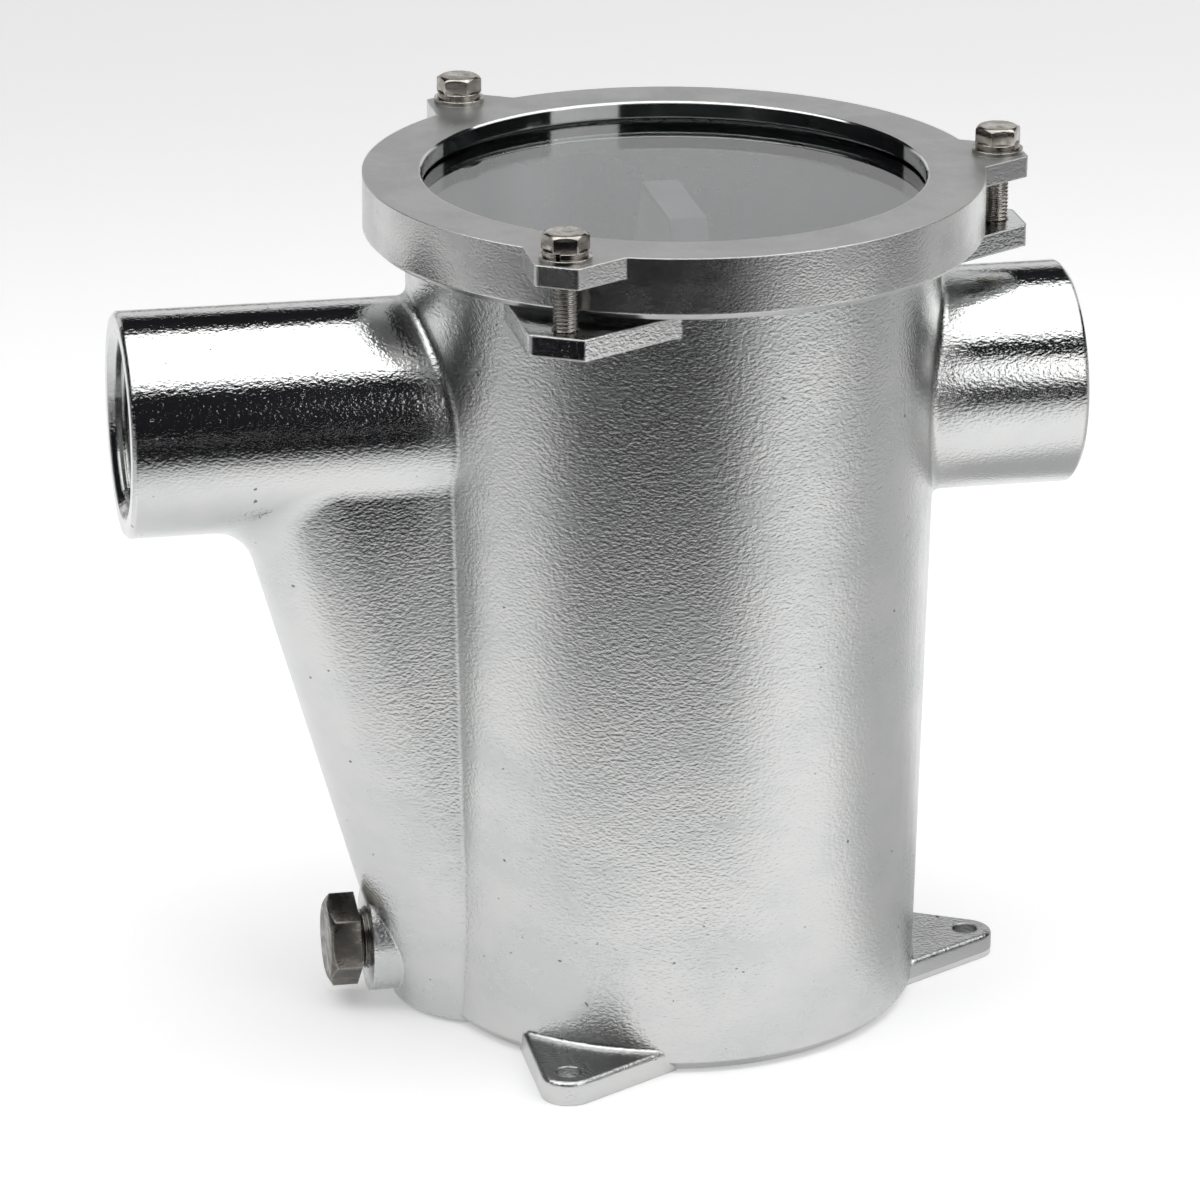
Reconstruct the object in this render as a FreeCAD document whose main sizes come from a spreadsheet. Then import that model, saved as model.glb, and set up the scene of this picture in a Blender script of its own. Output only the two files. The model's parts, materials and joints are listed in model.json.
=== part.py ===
import FreeCAD, Part
import math
import os
import Sketcher

os.makedirs("parts", exist_ok=True)
doc = FreeCAD.newDocument("strainer")

# ---------------------------------------------------------------- driving sizes (mm, degrees)
sheet = doc.addObject("Spreadsheet::Sheet", "sizes")
SIZES = [
    # bowl
    ("base_rad", "81.6"),
    ("rim_rad", "86.8"),
    ("rim_z", "263.5"),
    ("wall", "5.5"),
    ("floor_thick", "6"),
    ("base_round", "4"),
    ("rim_in_rad", "=rim_rad - wall"),
    ("base_in_rad", "=base_rad - wall"),
    ("bowl_slope", "=(rim_rad - base_rad) / rim_z"),
    ("base_round_x", "=base_rad - base_round"),
    ("base_side_x", "=base_rad + bowl_slope * base_round"),
    ("base_in_x", "=base_in_rad + bowl_slope * floor_thick"),
    # pipes
    ("pipe_down", "58"),
    ("pipe_z", "=rim_z - pipe_down"),
    ("inlet_end", "180.5"),
    ("outlet_end", "130.5"),
    ("thread_rad", "28.3"),
    ("thread_depth", "26"),
    ("thread_step", "0.8"),
    ("bore_rad", "=thread_rad - thread_step"),
    ("pipe_wall", "8.2"),
    ("pipe_rad", "=thread_rad + pipe_wall"),
    ("mouth_bevel", "2.2"),
    ("pipe_edge", "1.2"),
    # inlet duct under the inlet pipe
    ("duct_inset", "3.5"),
    ("duct_half", "=pipe_rad - duct_inset"),
    ("duct_foot_out", "11.7"),
    ("duct_foot_x", "=base_rad + duct_foot_out"),
    ("duct_tilt", "16"),
    ("duct_in_half", "=duct_half - wall"),
    ("duct_origin_up", "29.5"),
    ("duct_origin_z", "=pipe_z + duct_origin_up"),
    ("duct_foot_u", "=duct_foot_x * cos(duct_tilt * 1 deg)"),
    ("duct_centre", "=duct_foot_u + duct_origin_z * sin(duct_tilt * 1 deg) - duct_half"),
    ("duct_in_back", "20"),
    ("duct_sill", "47.5"),
    ("cavity_reach", "=(duct_origin_z - duct_sill) / cos(duct_tilt * 1 deg)"),
    ("trim_deep", "120"),
    ("trim_side", "=2 * (inlet_end + duct_half)"),
    ("trim_half", "=trim_side / 2"),
    ("duct_reach", "=duct_origin_z + trim_deep / 4"),
    ("port_half", "22"),
    ("port_up", "4"),
    ("port_low", "=floor_thick + port_up"),
    ("port_high", "96"),
    ("port_lap", "5.4"),
    ("port_reach", "=base_rad + port_lap"),
    # junction rounds of the casting
    ("duct_pipe_round", "16"),
    ("seam_round", "3"),
    ("foot_round", "1.5"),
    ("lug_corner_round", "2"),
    # drain boss and plug
    ("boss_z", "21.7"),
    ("boss_rad", "17.8"),
    ("boss_out", "3.2"),
    ("boss_face", "=duct_foot_x + boss_z * tan(duct_tilt * 1 deg) + boss_out"),
    ("drain_lap", "2.5"),
    ("drain_depth", "=boss_face - port_reach + drain_lap"),
    ("plug_thread_rad", "10.4"),
    ("plug_fit", "0.05"),
    ("plug_hole_rad", "=plug_thread_rad + plug_fit"),
    ("plug_out", "3.5"),
    ("plug_neck", "1.8"),
    ("plug_neck_in", "1.8"),
    ("plug_neck_rad", "=plug_thread_rad - plug_neck_in"),
    ("plug_thread_len", "12"),
    ("plug_head", "10"),
    ("plug_flat", "13.5"),
    ("plug_corner", "=plug_flat / cos(30 deg)"),
    ("plug_corner_half", "=plug_corner / 2"),
    ("plug_face_in", "0.9"),
    ("plug_face_rad", "=plug_flat - plug_face_in"),
    ("plug_bevel", "1.7"),
    ("plug_bevel_z", "=plug_head - plug_bevel"),
    ("plug_lead", "1.2"),
    # window disc between its two seals, stacked on the bowl rim
    ("rim_seal", "2.2"),
    ("disc_low", "=rim_z + rim_seal"),
    ("disc_thick", "9"),
    ("disc_edge", "0.8"),
    ("top_seal", "0.8"),
    ("top_seal_low", "=disc_low + disc_thick"),
    ("lip_z", "=top_seal_low + top_seal"),
    ("disc_over", "3.7"),
    ("disc_rad", "=rim_rad + disc_over"),
    ("seal_inset", "0.3"),
    ("rim_seal_in", "=rim_in_rad + seal_inset"),
    ("rim_seal_out", "=rim_rad - seal_inset"),
    # clamp ring of the lid
    ("window_fit", "0.5"),
    ("ring_bore", "=disc_rad + window_fit"),
    ("ring_wall", "9"),
    ("ring_rad", "=ring_bore + ring_wall"),
    ("ring_lip", "5.5"),
    ("ring_top", "=lip_z + ring_lip"),
    ("ring_tall", "20"),
    ("ring_low", "=ring_top - ring_tall"),
    ("lip_cover", "9.5"),
    ("window_rad", "=disc_rad - lip_cover"),
    ("top_seal_inset", "1.4"),
    ("top_seal_in", "=window_rad + top_seal_inset"),
    ("ring_bevel", "2"),
    ("ring_edge", "0.6"),
    ("ring_bevel_rad", "=ring_rad - ring_bevel"),
    ("ring_bevel_z", "=ring_low + ring_bevel"),
    # clamp lugs of the lid and of the bowl, both about the bolt circle
    ("bolt_out", "7"),
    ("bolt_pitch_rad", "=ring_rad + bolt_out"),
    ("lid_lug_thick", "6.8"),
    ("lid_lug_over", "8.6"),
    ("lid_lug_tip", "=bolt_pitch_rad + lid_lug_over"),
    ("lid_lug_tip_half", "7"),
    ("lid_lug_root", "=ring_rad - ring_wall * 2 / 3"),
    ("lid_lug_root_half", "19.4"),
    ("lug_gap", "2.4"),
    ("lug_top", "=ring_low - lug_gap"),
    ("lug_thick", "7"),
    ("lug_over", "8.2"),
    ("lug_tip", "=bolt_pitch_rad + lug_over"),
    ("lug_tip_half", "9"),
    ("lug_root", "=rim_in_rad - wall"),
    ("lug_root_half", "32.5"),
    # feet
    ("foot_thick", "8"),
    ("foot_reach", "21.4"),
    ("foot_hole_at", "=base_rad + foot_reach"),
    ("foot_tip_rad", "9"),
    ("foot_root", "=base_in_rad - 0.4 * wall"),
    ("foot_root_half", "27"),
    ("foot_hole_rad", "4.25"),
    # clamp bolts and washers
    ("bolt_rad", "4"),
    ("bolt_fit", "0.05"),
    ("bolt_hole_rad", "=bolt_rad + bolt_fit"),
    ("lid_hole_fit", "0.5"),
    ("lid_hole_rad", "=bolt_rad + lid_hole_fit"),
    ("bolt_head", "5.3"),
    ("bolt_flat", "6.5"),
    ("bolt_corner", "=bolt_flat / cos(30 deg)"),
    ("bolt_corner_half", "=bolt_corner / 2"),
    ("bolt_face_in", "0.5"),
    ("bolt_face_rad", "=bolt_flat - bolt_face_in"),
    ("bolt_bevel", "0.9"),
    ("bolt_bevel_z", "=bolt_head - bolt_bevel"),
    ("bolt_length", "34"),
    ("bolt_point", "0.9"),
    ("washer_fit", "0.2"),
    ("washer_hole_rad", "=bolt_rad + washer_fit"),
    ("flat_washer", "1.6"),
    ("flat_washer_rad", "8.3"),
    ("spring_washer", "2"),
    ("spring_washer_rad", "7.2"),
    ("spring_gap", "1.4"),
    ("spring_gap_half", "=spring_gap / 2"),
    ("spring_z", "=ring_top + flat_washer"),
    ("bolt_seat_z", "=spring_z + spring_washer"),
    ("bolt_a_angle", "19"),
    ("bolt_b_angle", "30"),
    ("bolt_c_angle", "12"),
    # basket ledge in the bowl
    ("ledge_down", "12"),
    ("ledge_z", "=pipe_z - bore_rad - ledge_down"),
    ("ledge_wall_rad", "=base_in_rad + bowl_slope * ledge_z"),
    ("ledge_wide", "7.4"),
    ("ledge_rad", "=ledge_wall_rad - ledge_wide"),
    ("ledge_thick", "4"),
    ("ledge_low", "=ledge_z - ledge_thick"),
    ("ledge_slope_low", "=ledge_low - (ledge_wall_rad - ledge_rad)"),
    ("ledge_low_x", "=base_in_rad + bowl_slope * ledge_slope_low"),
    # basket
    ("basket_fit", "2.5"),
    ("basket_rad", "=ledge_rad - basket_fit"),
    ("sheet_thick", "1.5"),
    ("basket_in_rad", "=basket_rad - sheet_thick"),
    ("basket_up", "6"),
    ("basket_low", "=floor_thick + basket_up"),
    ("rim_flange", "3"),
    ("flange_fit", "1.2"),
    ("rim_flange_rad", "=ledge_wall_rad - flange_fit"),
    ("basket_top", "=ledge_z + rim_flange"),
    ("basket_tall", "=basket_top - basket_low"),
    ("base_top", "=basket_low + sheet_thick"),
    # basket handle and rivets
    ("strap_wide", "12"),
    ("strap_thick", "2"),
    ("tab_gap", "0.3"),
    ("tab_out", "=basket_in_rad - tab_gap"),
    ("tab_in", "=tab_out - strap_thick"),
    ("tab_up", "5"),
    ("tab_top", "=ledge_z + tab_up"),
    ("tab_tall", "23"),
    ("tab_low", "=tab_top - tab_tall"),
    ("tab_in_top", "=tab_top - 0.45 * strap_thick"),
    ("grip_half", "22"),
    ("grip_gap", "1.7"),
    ("grip_top", "=disc_low - grip_gap"),
    ("grip_low", "=grip_top - strap_thick"),
    ("grip_in_half", "=grip_half - 0.4 * strap_thick"),
    ("rivet_up", "9"),
    ("rivet_z", "=tab_low + rivet_up"),
    ("rivet_rad", "2.5"),
    ("rivet_fit", "0.05"),
    ("rivet_hole_rad", "=rivet_rad + rivet_fit"),
    ("rivet_head_rad", "4.2"),
    ("rivet_head", "1.6"),
    ("rivet_head_top_rad", "2.6"),
    ("rivet_in", "=tab_in - rivet_head"),
    ("rivet_out", "=basket_rad + rivet_head"),
    ("bore_across", "=2 * rim_flange_rad"),
    # slots of the basket
    ("slot_half", "3"),
    ("slot_margin", "12"),
    ("slot_bridge", "6"),
    ("slot_pairs", "8"),
    ("row_1_low", "=base_top + slot_margin"),
    ("slot_step", "=(rivet_z - slot_bridge / 2 - row_1_low) / 3"),
    ("row_1_top", "=row_1_low + slot_step - slot_bridge"),
    ("row_2_low", "=row_1_low + slot_step"),
    ("row_2_top", "=row_1_top + slot_step"),
    ("row_3_low", "=row_2_low + slot_step"),
    ("row_3_top", "=row_2_top + slot_step"),
    ("base_slot_in", "18"),
    ("base_slot_edge", "10"),
    ("base_slot_out", "=basket_in_rad - base_slot_edge"),
    ("base_slot_count", "12"),
]
for row, (name, value) in enumerate(SIZES, start=1):
    sheet.set("A%d" % row, name)
    sheet.set("B%d" % row, value)
    sheet.setAlias("B%d" % row, name)
doc.recompute()


# ---------------------------------------------------------------- small construction helpers
def size(name):
    """Value of a named size; a leading minus sign turns it round."""
    if name.startswith("-"):
        return -size(name[1:])
    return float(getattr(sheet, name))


def link(name):
    """Expression that reads a named size from the table."""
    if name.startswith("-"):
        return "-sizes." + name[1:]
    return "sizes." + name


def new_body(label):
    body = doc.addObject("PartDesign::Body", label)
    body.Label = label
    return body


def sketch_on(body, name, role, height=None):
    """Empty sketch on one of the body's own origin planes, raised by a named size."""
    sketch = body.newObject("Sketcher::SketchObject", name)
    for feature in body.Origin.OriginFeatures:
        if feature.Role == role:
            sketch.AttachmentSupport = [(feature, "")]
    sketch.MapMode = "FlatFace"
    if height:
        sketch.setExpression("AttachmentOffset.Base.z", link(height))
    return sketch


def tilted_sketch(body, name):
    """Sketch square to the leaning duct, with its origin on the bowl axis."""
    sketch = sketch_on(body, name, "XY_Plane", "duct_origin_z")
    turn = FreeCAD.Rotation(FreeCAD.Vector(0, 1, 0), -size("duct_tilt"))
    sketch.AttachmentOffset = FreeCAD.Placement(FreeCAD.Vector(0, 0, size("duct_origin_z")), turn)
    sketch.setExpression("AttachmentOffset.Rotation.Angle", link("-duct_tilt"))
    return sketch


def bind(sketch, kind, places, name):
    """Dimension tied to a named size."""
    index = sketch.addConstraint(Sketcher.Constraint(kind, *places, size(name)))
    sketch.setExpression("Constraints[%d]" % index, link(name))


def pin(sketch, geo, pos, along, up):
    """Fix one point of the sketch at named distances from the sketch origin."""
    if along == "0":
        sketch.addConstraint(Sketcher.Constraint("PointOnObject", geo, pos, -2))
    else:
        bind(sketch, "DistanceX", (-1, 1, geo, pos), along)
    if up == "0":
        sketch.addConstraint(Sketcher.Constraint("PointOnObject", geo, pos, -1))
    else:
        bind(sketch, "DistanceY", (-1, 1, geo, pos), up)


def value_or_zero(name):
    return 0.0 if name == "0" else size(name)


def outline(sketch, corners):
    """Closed run of straight lines through corners given as pairs of size names."""
    points = [FreeCAD.Vector(value_or_zero(a), value_or_zero(b), 0) for a, b in corners]
    first = sketch.GeometryCount
    count = len(points)
    for i in range(count):
        sketch.addGeometry(Part.LineSegment(points[i], points[(i + 1) % count]), False)
    for i in range(count):
        after = first + (i + 1) % count
        sketch.addConstraint(Sketcher.Constraint("Coincident", first + i, 2, after, 1))
    for i, (along, up) in enumerate(corners):
        pin(sketch, first + i, 1, along, up)


def circle(sketch, along, up, radius):
    """Circle with its centre pinned at named distances."""
    centre = FreeCAD.Vector(value_or_zero(along), value_or_zero(up), 0)
    normal = FreeCAD.Vector(0, 0, 1)
    geo = sketch.addGeometry(Part.Circle(centre, normal, size(radius)), False)
    bind(sketch, "Radius", (geo,), radius)
    pin(sketch, geo, 3, along, up)


def tongue(sketch, back, centre, half):
    """Two parallel sides closed by a half circle at the far, negative end."""
    b, c, w = value_or_zero(back), size(centre), size(half)
    v = FreeCAD.Vector
    sketch.addGeometry(Part.LineSegment(v(b, w, 0), v(c, w, 0)), False)
    arc = Part.Arc(v(c, w, 0), v(c - w, 0, 0), v(c, -w, 0))
    sketch.addGeometry(arc, False)
    sketch.addGeometry(Part.LineSegment(v(c, -w, 0), v(b, -w, 0)), False)
    sketch.addGeometry(Part.LineSegment(v(b, -w, 0), v(b, w, 0)), False)
    sketch.addConstraint(Sketcher.Constraint("Tangent", 0, 2, 1, 1))
    sketch.addConstraint(Sketcher.Constraint("Tangent", 2, 1, 1, 2))
    sketch.addConstraint(Sketcher.Constraint("Coincident", 2, 2, 3, 1))
    sketch.addConstraint(Sketcher.Constraint("Coincident", 3, 2, 0, 1))
    sketch.addConstraint(Sketcher.Constraint("Horizontal", 0))
    sketch.addConstraint(Sketcher.Constraint("Vertical", 3))
    sketch.addConstraint(Sketcher.Constraint("PointOnObject", 1, 3, -1))
    bind(sketch, "DistanceX", (-1, 1, 1, 3), centre)
    bind(sketch, "Radius", (1,), half)
    if back == "0":
        sketch.addConstraint(Sketcher.Constraint("PointOnObject", 0, 1, -2))
    else:
        bind(sketch, "DistanceX", (-1, 1, 0, 1), back)


def pad(body, sketch, name, length, turned=False):
    feature = body.newObject("PartDesign::Pad", name)
    feature.Profile = sketch
    feature.setExpression("Length", link(length))
    feature.Reversed = turned
    sketch.Visibility = False
    return feature


def pocket(body, sketch, name, length, turned=False):
    feature = body.newObject("PartDesign::Pocket", name)
    feature.Profile = sketch
    feature.setExpression("Length", link(length))
    feature.Reversed = turned
    sketch.Visibility = False
    return feature


def axis_of(body, role):
    for feature in body.Origin.OriginFeatures:
        if feature.Role == role:
            return (feature, [""])


def spun(body, sketch, name, kind="Revolution"):
    """Full turn of a profile round the vertical axis, adding or cutting."""
    feature = body.newObject("PartDesign::" + kind, name)
    feature.Profile = sketch
    feature.ReferenceAxis = axis_of(body, "Z_Axis")
    feature.Angle = 360
    sketch.Visibility = False
    return feature


def three_round(body, feature, name):
    """Repeat a feature three times round the bowl axis."""
    pattern = body.newObject("PartDesign::PolarPattern", name)
    pattern.Originals = [feature]
    pattern.Axis = axis_of(body, "Z_Axis")
    pattern.Angle = 360
    pattern.Occurrences = 3
    body.Tip = pattern
    return pattern


def edges_where(shape, test):
    """Names of the edges whose sampled points all pass a test."""
    names = []
    for number, edge in enumerate(shape.Edges, start=1):
        first, last = edge.ParameterRange
        steps = [first + (last - first) * k / 6.0 for k in range(7)]
        if all(test(edge.valueAt(step)) for step in steps):
            names.append("Edge%d" % number)
    return names


def rounded(body, base, name, radius, test, kind="Fillet"):
    """Round or bevel the chosen edges of a feature."""
    doc.recompute()
    feature = body.newObject("PartDesign::" + kind, name)
    feature.Base = (base, edges_where(base.Shape, test))
    feature.setExpression("Radius" if kind == "Fillet" else "Size", link(radius))
    doc.recompute()
    return feature


TOUCH = 0.1    # how far a point may lie from a surface and still count as on it


def near(a, b):
    return abs(a - b) < TOUCH


def bowl_radius(height):
    return size("base_rad") + size("bowl_slope") * height


# ---------------------------------------------------------------- strainer_body
# One casting: bowl, inlet pipe with its duct, outlet pipe, drain boss, clamp lugs and feet.
def make_strainer_body():
    body = new_body("strainer_body")
    duct_sketch = tilted_sketch(body, "duct_section")
    tongue(duct_sketch, "0", "-duct_centre", "duct_half")
    pad(body, duct_sketch, "duct", "duct_reach", True)
    trim = body.newObject("PartDesign::SubtractiveBox", "duct_foot_trim")
    trim.setExpression("Length", link("trim_side"))
    trim.setExpression("Width", link("trim_side"))
    trim.setExpression("Height", link("trim_deep"))
    trim.setExpression("AttachmentOffset.Base.x", link("-trim_half"))
    trim.setExpression("AttachmentOffset.Base.y", link("-trim_half"))
    trim.setExpression("AttachmentOffset.Base.z", link("-trim_deep"))
    trim.AttachmentSupport = [(axis_of(body, "XY_Plane")[0], "")]
    trim.MapMode = "FlatFace"
    rounded(body, trim, "duct_base_round", "base_round",
            lambda p: near(p.z, 0) and p.x < -TOUCH)
    pipe_sketch = sketch_on(body, "inlet_circle", "YZ_Plane")
    circle(pipe_sketch, "0", "pipe_z", "pipe_rad")
    pipe = pad(body, pipe_sketch, "inlet_pipe", "inlet_end", True)
    pipe_z, pipe_rad, half = size("pipe_z"), size("pipe_rad"), size("duct_half")
    rounded(body, pipe, "duct_pipe_blend", "duct_pipe_round",
            lambda p: near(math.hypot(p.y, p.z - pipe_z), pipe_rad) and p.z < pipe_z
            and abs(p.y) < half + TOUCH and -size("inlet_end") + TOUCH < p.x < TOUCH)
    boss_sketch = sketch_on(body, "boss_circle", "YZ_Plane")
    circle(boss_sketch, "0", "boss_z", "boss_rad")
    pad(body, boss_sketch, "drain_boss", "boss_face", True)
    cavity_sketch = tilted_sketch(body, "cavity_section")
    tongue(cavity_sketch, "-duct_in_back", "-duct_centre", "duct_in_half")
    pocket(body, cavity_sketch, "duct_cavity", "cavity_reach")
    bore_sketch = sketch_on(body, "inlet_bore_circle", "YZ_Plane")
    circle(bore_sketch, "0", "pipe_z", "bore_rad")
    pocket(body, bore_sketch, "inlet_bore", "inlet_end")
    bowl_sketch = sketch_on(body, "bowl_outline", "XZ_Plane")
    outline(bowl_sketch, [("0", "0"), ("base_round_x", "0"), ("base_side_x", "base_round"),
                          ("rim_rad", "rim_z"), ("0", "rim_z")])
    spun(body, bowl_sketch, "bowl")
    outlet_sketch = sketch_on(body, "outlet_circle", "YZ_Plane")
    circle(outlet_sketch, "0", "pipe_z", "pipe_rad")
    outlet = pad(body, outlet_sketch, "outlet_pipe", "outlet_end")
    rounded(body, outlet, "seam_rounds", "seam_round", on_bowl_seam)
    add_lugs_and_feet(body)
    hollow_out(body)
    return body


def on_bowl_seam(p):
    """Points where a pipe or the duct meets the outside of the bowl."""
    on_bowl = near(math.hypot(p.x, p.y), bowl_radius(p.z))
    on_pipe = near(math.hypot(p.y, p.z - size("pipe_z")), size("pipe_rad"))
    beside_duct = p.x < 0 and abs(p.y) > size("duct_in_half") + TOUCH
    return on_bowl and (on_pipe or beside_duct)


def add_lugs_and_feet(body):
    lug_sketch = sketch_on(body, "lug_outline", "XY_Plane", "lug_top")
    outline(lug_sketch, [("lug_root", "-lug_root_half"), ("lug_tip", "-lug_tip_half"),
                         ("lug_tip", "lug_tip_half"), ("lug_root", "lug_root_half")])
    lug = pad(body, lug_sketch, "clamp_lug", "lug_thick", True)
    lugs = three_round(body, lug, "clamp_lugs")
    rounded(body, lugs, "lug_corner_rounds", "lug_corner_round",
            lambda p: on_lug_corner(p, "lug_tip", "lug_tip_half"))
    foot_sketch = sketch_on(body, "foot_outline", "XY_Plane")
    foot_shape(foot_sketch)
    foot = pad(body, foot_sketch, "foot", "foot_thick")
    feet = three_round(body, foot, "feet")
    rounded(body, feet, "foot_rounds", "foot_round", on_foot_brim)


def on_lug_corner(p, tip, tip_half):
    """Points on the upright edges at the tip of a lug."""
    return near(math.hypot(p.x, p.y), math.hypot(size(tip), size(tip_half)))


def on_foot_brim(p):
    """Points round the top of a foot, with its root on the bowl."""
    reach = math.hypot(p.x, p.y)
    return near(p.z, size("foot_thick")) and reach > bowl_radius(p.z) - TOUCH


def foot_shape(sketch):
    """Two flanks running tangent into a round tip."""
    root, half = size("foot_root"), size("foot_root_half")
    centre, radius = size("foot_hole_at"), size("foot_tip_rad")
    v = FreeCAD.Vector
    reach = math.hypot(centre - root, half)
    lean = math.atan2(half, centre - root) - math.asin(radius / reach)
    touch_x = centre + radius * math.sin(lean)
    touch_y = radius * math.cos(lean)
    sketch.addGeometry(Part.LineSegment(v(root, half, 0), v(touch_x, touch_y, 0)), False)
    tip = Part.Arc(v(touch_x, -touch_y, 0), v(centre + radius, 0, 0), v(touch_x, touch_y, 0))
    sketch.addGeometry(tip, False)
    sketch.addGeometry(Part.LineSegment(v(touch_x, -touch_y, 0), v(root, -half, 0)), False)
    sketch.addGeometry(Part.LineSegment(v(root, -half, 0), v(root, half, 0)), False)
    sketch.addConstraint(Sketcher.Constraint("Tangent", 0, 2, 1, 2))
    sketch.addConstraint(Sketcher.Constraint("Tangent", 2, 1, 1, 1))
    sketch.addConstraint(Sketcher.Constraint("Coincident", 2, 2, 3, 1))
    sketch.addConstraint(Sketcher.Constraint("Coincident", 3, 2, 0, 1))
    bind(sketch, "DistanceX", (-1, 1, 1, 3), "foot_hole_at")
    sketch.addConstraint(Sketcher.Constraint("PointOnObject", 1, 3, -1))
    bind(sketch, "Radius", (1,), "foot_tip_rad")
    pin(sketch, 0, 1, "foot_root", "foot_root_half")
    pin(sketch, 3, 1, "foot_root", "-foot_root_half")


def hollow_out(body):
    """Bowl cavity with its basket ledge, pipe bores, duct port, drain hole, bolt holes."""
    cavity = sketch_on(body, "bowl_cavity_outline", "XZ_Plane")
    outline(cavity, [("0", "floor_thick"), ("base_in_x", "floor_thick"),
                     ("ledge_low_x", "ledge_slope_low"), ("ledge_rad", "ledge_low"),
                     ("ledge_rad", "ledge_z"), ("ledge_wall_rad", "ledge_z"),
                     ("rim_in_rad", "rim_z"), ("0", "rim_z")])
    spun(body, cavity, "bowl_cavity", "Groove")
    bore = sketch_on(body, "outlet_bore_circle", "YZ_Plane")
    circle(bore, "0", "pipe_z", "bore_rad")
    pocket(body, bore, "outlet_bore", "outlet_end", True)
    for side, face in (("outlet", "outlet_end"), ("inlet", "-inlet_end")):
        tap = sketch_on(body, side + "_thread_circle", "YZ_Plane", face)
        circle(tap, "0", "pipe_z", "thread_rad")
        pocket(body, tap, side + "_thread_bore", "thread_depth", side == "inlet")
    port = sketch_on(body, "duct_port_outline", "YZ_Plane")
    outline(port, [("-port_half", "port_low"), ("port_half", "port_low"),
                   ("port_half", "port_high"), ("-port_half", "port_high")])
    pocket(body, port, "duct_port", "port_reach")
    drain = sketch_on(body, "drain_hole_circle", "YZ_Plane", "-boss_face")
    circle(drain, "0", "boss_z", "plug_hole_rad")
    pocket(body, drain, "drain_hole", "drain_depth", True)
    bolt_hole = sketch_on(body, "bolt_hole_circle", "XY_Plane", "lug_top")
    circle(bolt_hole, "bolt_pitch_rad", "0", "bolt_hole_rad")
    three_round(body, pocket(body, bolt_hole, "bolt_hole", "lug_thick"), "bolt_holes")
    foot_hole = sketch_on(body, "foot_hole_circle", "XY_Plane", "foot_thick")
    circle(foot_hole, "foot_hole_at", "0", "foot_hole_rad")
    holes = three_round(body, pocket(body, foot_hole, "foot_hole", "foot_thick"), "foot_holes")
    edges = rounded(body, holes, "pipe_end_bevels", "pipe_edge",
                    lambda p: on_pipe_end(p, "pipe_rad"), "Chamfer")
    rounded(body, edges, "mouth_bevels", "mouth_bevel",
            lambda p: on_pipe_end(p, "thread_rad"), "Chamfer")


def on_pipe_end(p, radius):
    """Points of a circle of that radius on either end face of the pipes."""
    on_end = near(p.x, -size("inlet_end")) or near(p.x, size("outlet_end"))
    return on_end and near(math.hypot(p.y, p.z - size("pipe_z")), size(radius))


# ---------------------------------------------------------------- lid_ring
# One casting, turned: clamp ring with a lip over the window disc, a bore for it and three lugs.
def make_lid_ring():
    body = new_body("lid_ring")
    profile = sketch_on(body, "ring_section", "XZ_Plane")
    outline(profile, [("window_rad", "lip_z"), ("ring_bore", "lip_z"), ("ring_bore", "ring_low"),
                      ("ring_bevel_rad", "ring_low"), ("ring_rad", "ring_bevel_z"),
                      ("ring_rad", "ring_top"), ("window_rad", "ring_top")])
    spun(body, profile, "ring")
    lug_sketch = sketch_on(body, "lid_lug_outline", "XY_Plane", "ring_top")
    outline(lug_sketch, [("lid_lug_root", "-lid_lug_root_half"), ("lid_lug_tip", "-lid_lug_tip_half"),
                         ("lid_lug_tip", "lid_lug_tip_half"), ("lid_lug_root", "lid_lug_root_half")])
    lug = pad(body, lug_sketch, "lid_lug", "lid_lug_thick", True)
    lugs = three_round(body, lug, "lid_lugs")
    rounded(body, lugs, "lid_lug_corner_rounds", "lug_corner_round",
            lambda p: on_lug_corner(p, "lid_lug_tip", "lid_lug_tip_half"))
    hole_sketch = sketch_on(body, "lid_hole_circle", "XY_Plane", "ring_top")
    circle(hole_sketch, "bolt_pitch_rad", "0", "lid_hole_rad")
    holes = three_round(body, pocket(body, hole_sketch, "lid_hole", "ring_tall"), "lid_holes")
    top, window = size("ring_top"), size("window_rad")
    rounded(body, holes, "window_edge", "ring_edge",
            lambda p: near(p.z, top) and near(math.hypot(p.x, p.y), window), "Chamfer")
    return body


# ---------------------------------------------------------------- window_disc and its seals
def make_washer(label, inner, outer, low, thick):
    """Flat ring about the bowl axis, standing on a named level."""
    body = new_body(label)
    sketch = sketch_on(body, label + "_outline", "XY_Plane", low)
    circle(sketch, "0", "0", outer)
    if inner:
        circle(sketch, "0", "0", inner)
    pad(body, sketch, label + "_plate", thick)
    return body


def make_window():
    disc = make_washer("window_disc", None, "disc_rad", "disc_low", "disc_thick")
    top = size("disc_low") + size("disc_thick")
    rounded(disc, disc.Tip, "disc_bevel", "disc_edge", lambda p: near(p.z, top), "Chamfer")
    upper = make_washer("window_seal", "top_seal_in", "disc_rad", "top_seal_low", "top_seal")
    lower = make_washer("rim_seal", "rim_seal_in", "rim_seal_out", "rim_z", "rim_seal")
    return [disc, upper, lower]


# ---------------------------------------------------------------- clamp bolts and washers
def hexagon(sketch, corner, corner_half, flat):
    """Regular hexagon with two corners on the level axis."""
    outline(sketch, [(corner, "0"), (corner_half, flat), ("-" + corner_half, flat),
                     ("-" + corner, "0"), ("-" + corner_half, "-" + flat),
                     (corner_half, "-" + flat)])


def hex_bevel(body, name, face_rad, corner, low, top):
    """Turned bevel that takes the corners off the end of a hexagon head."""
    sketch = sketch_on(body, name + "_section", "XZ_Plane")
    outline(sketch, [(face_rad, top), (corner, low), (corner, top)])
    return spun(body, sketch, name, "Groove")


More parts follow.
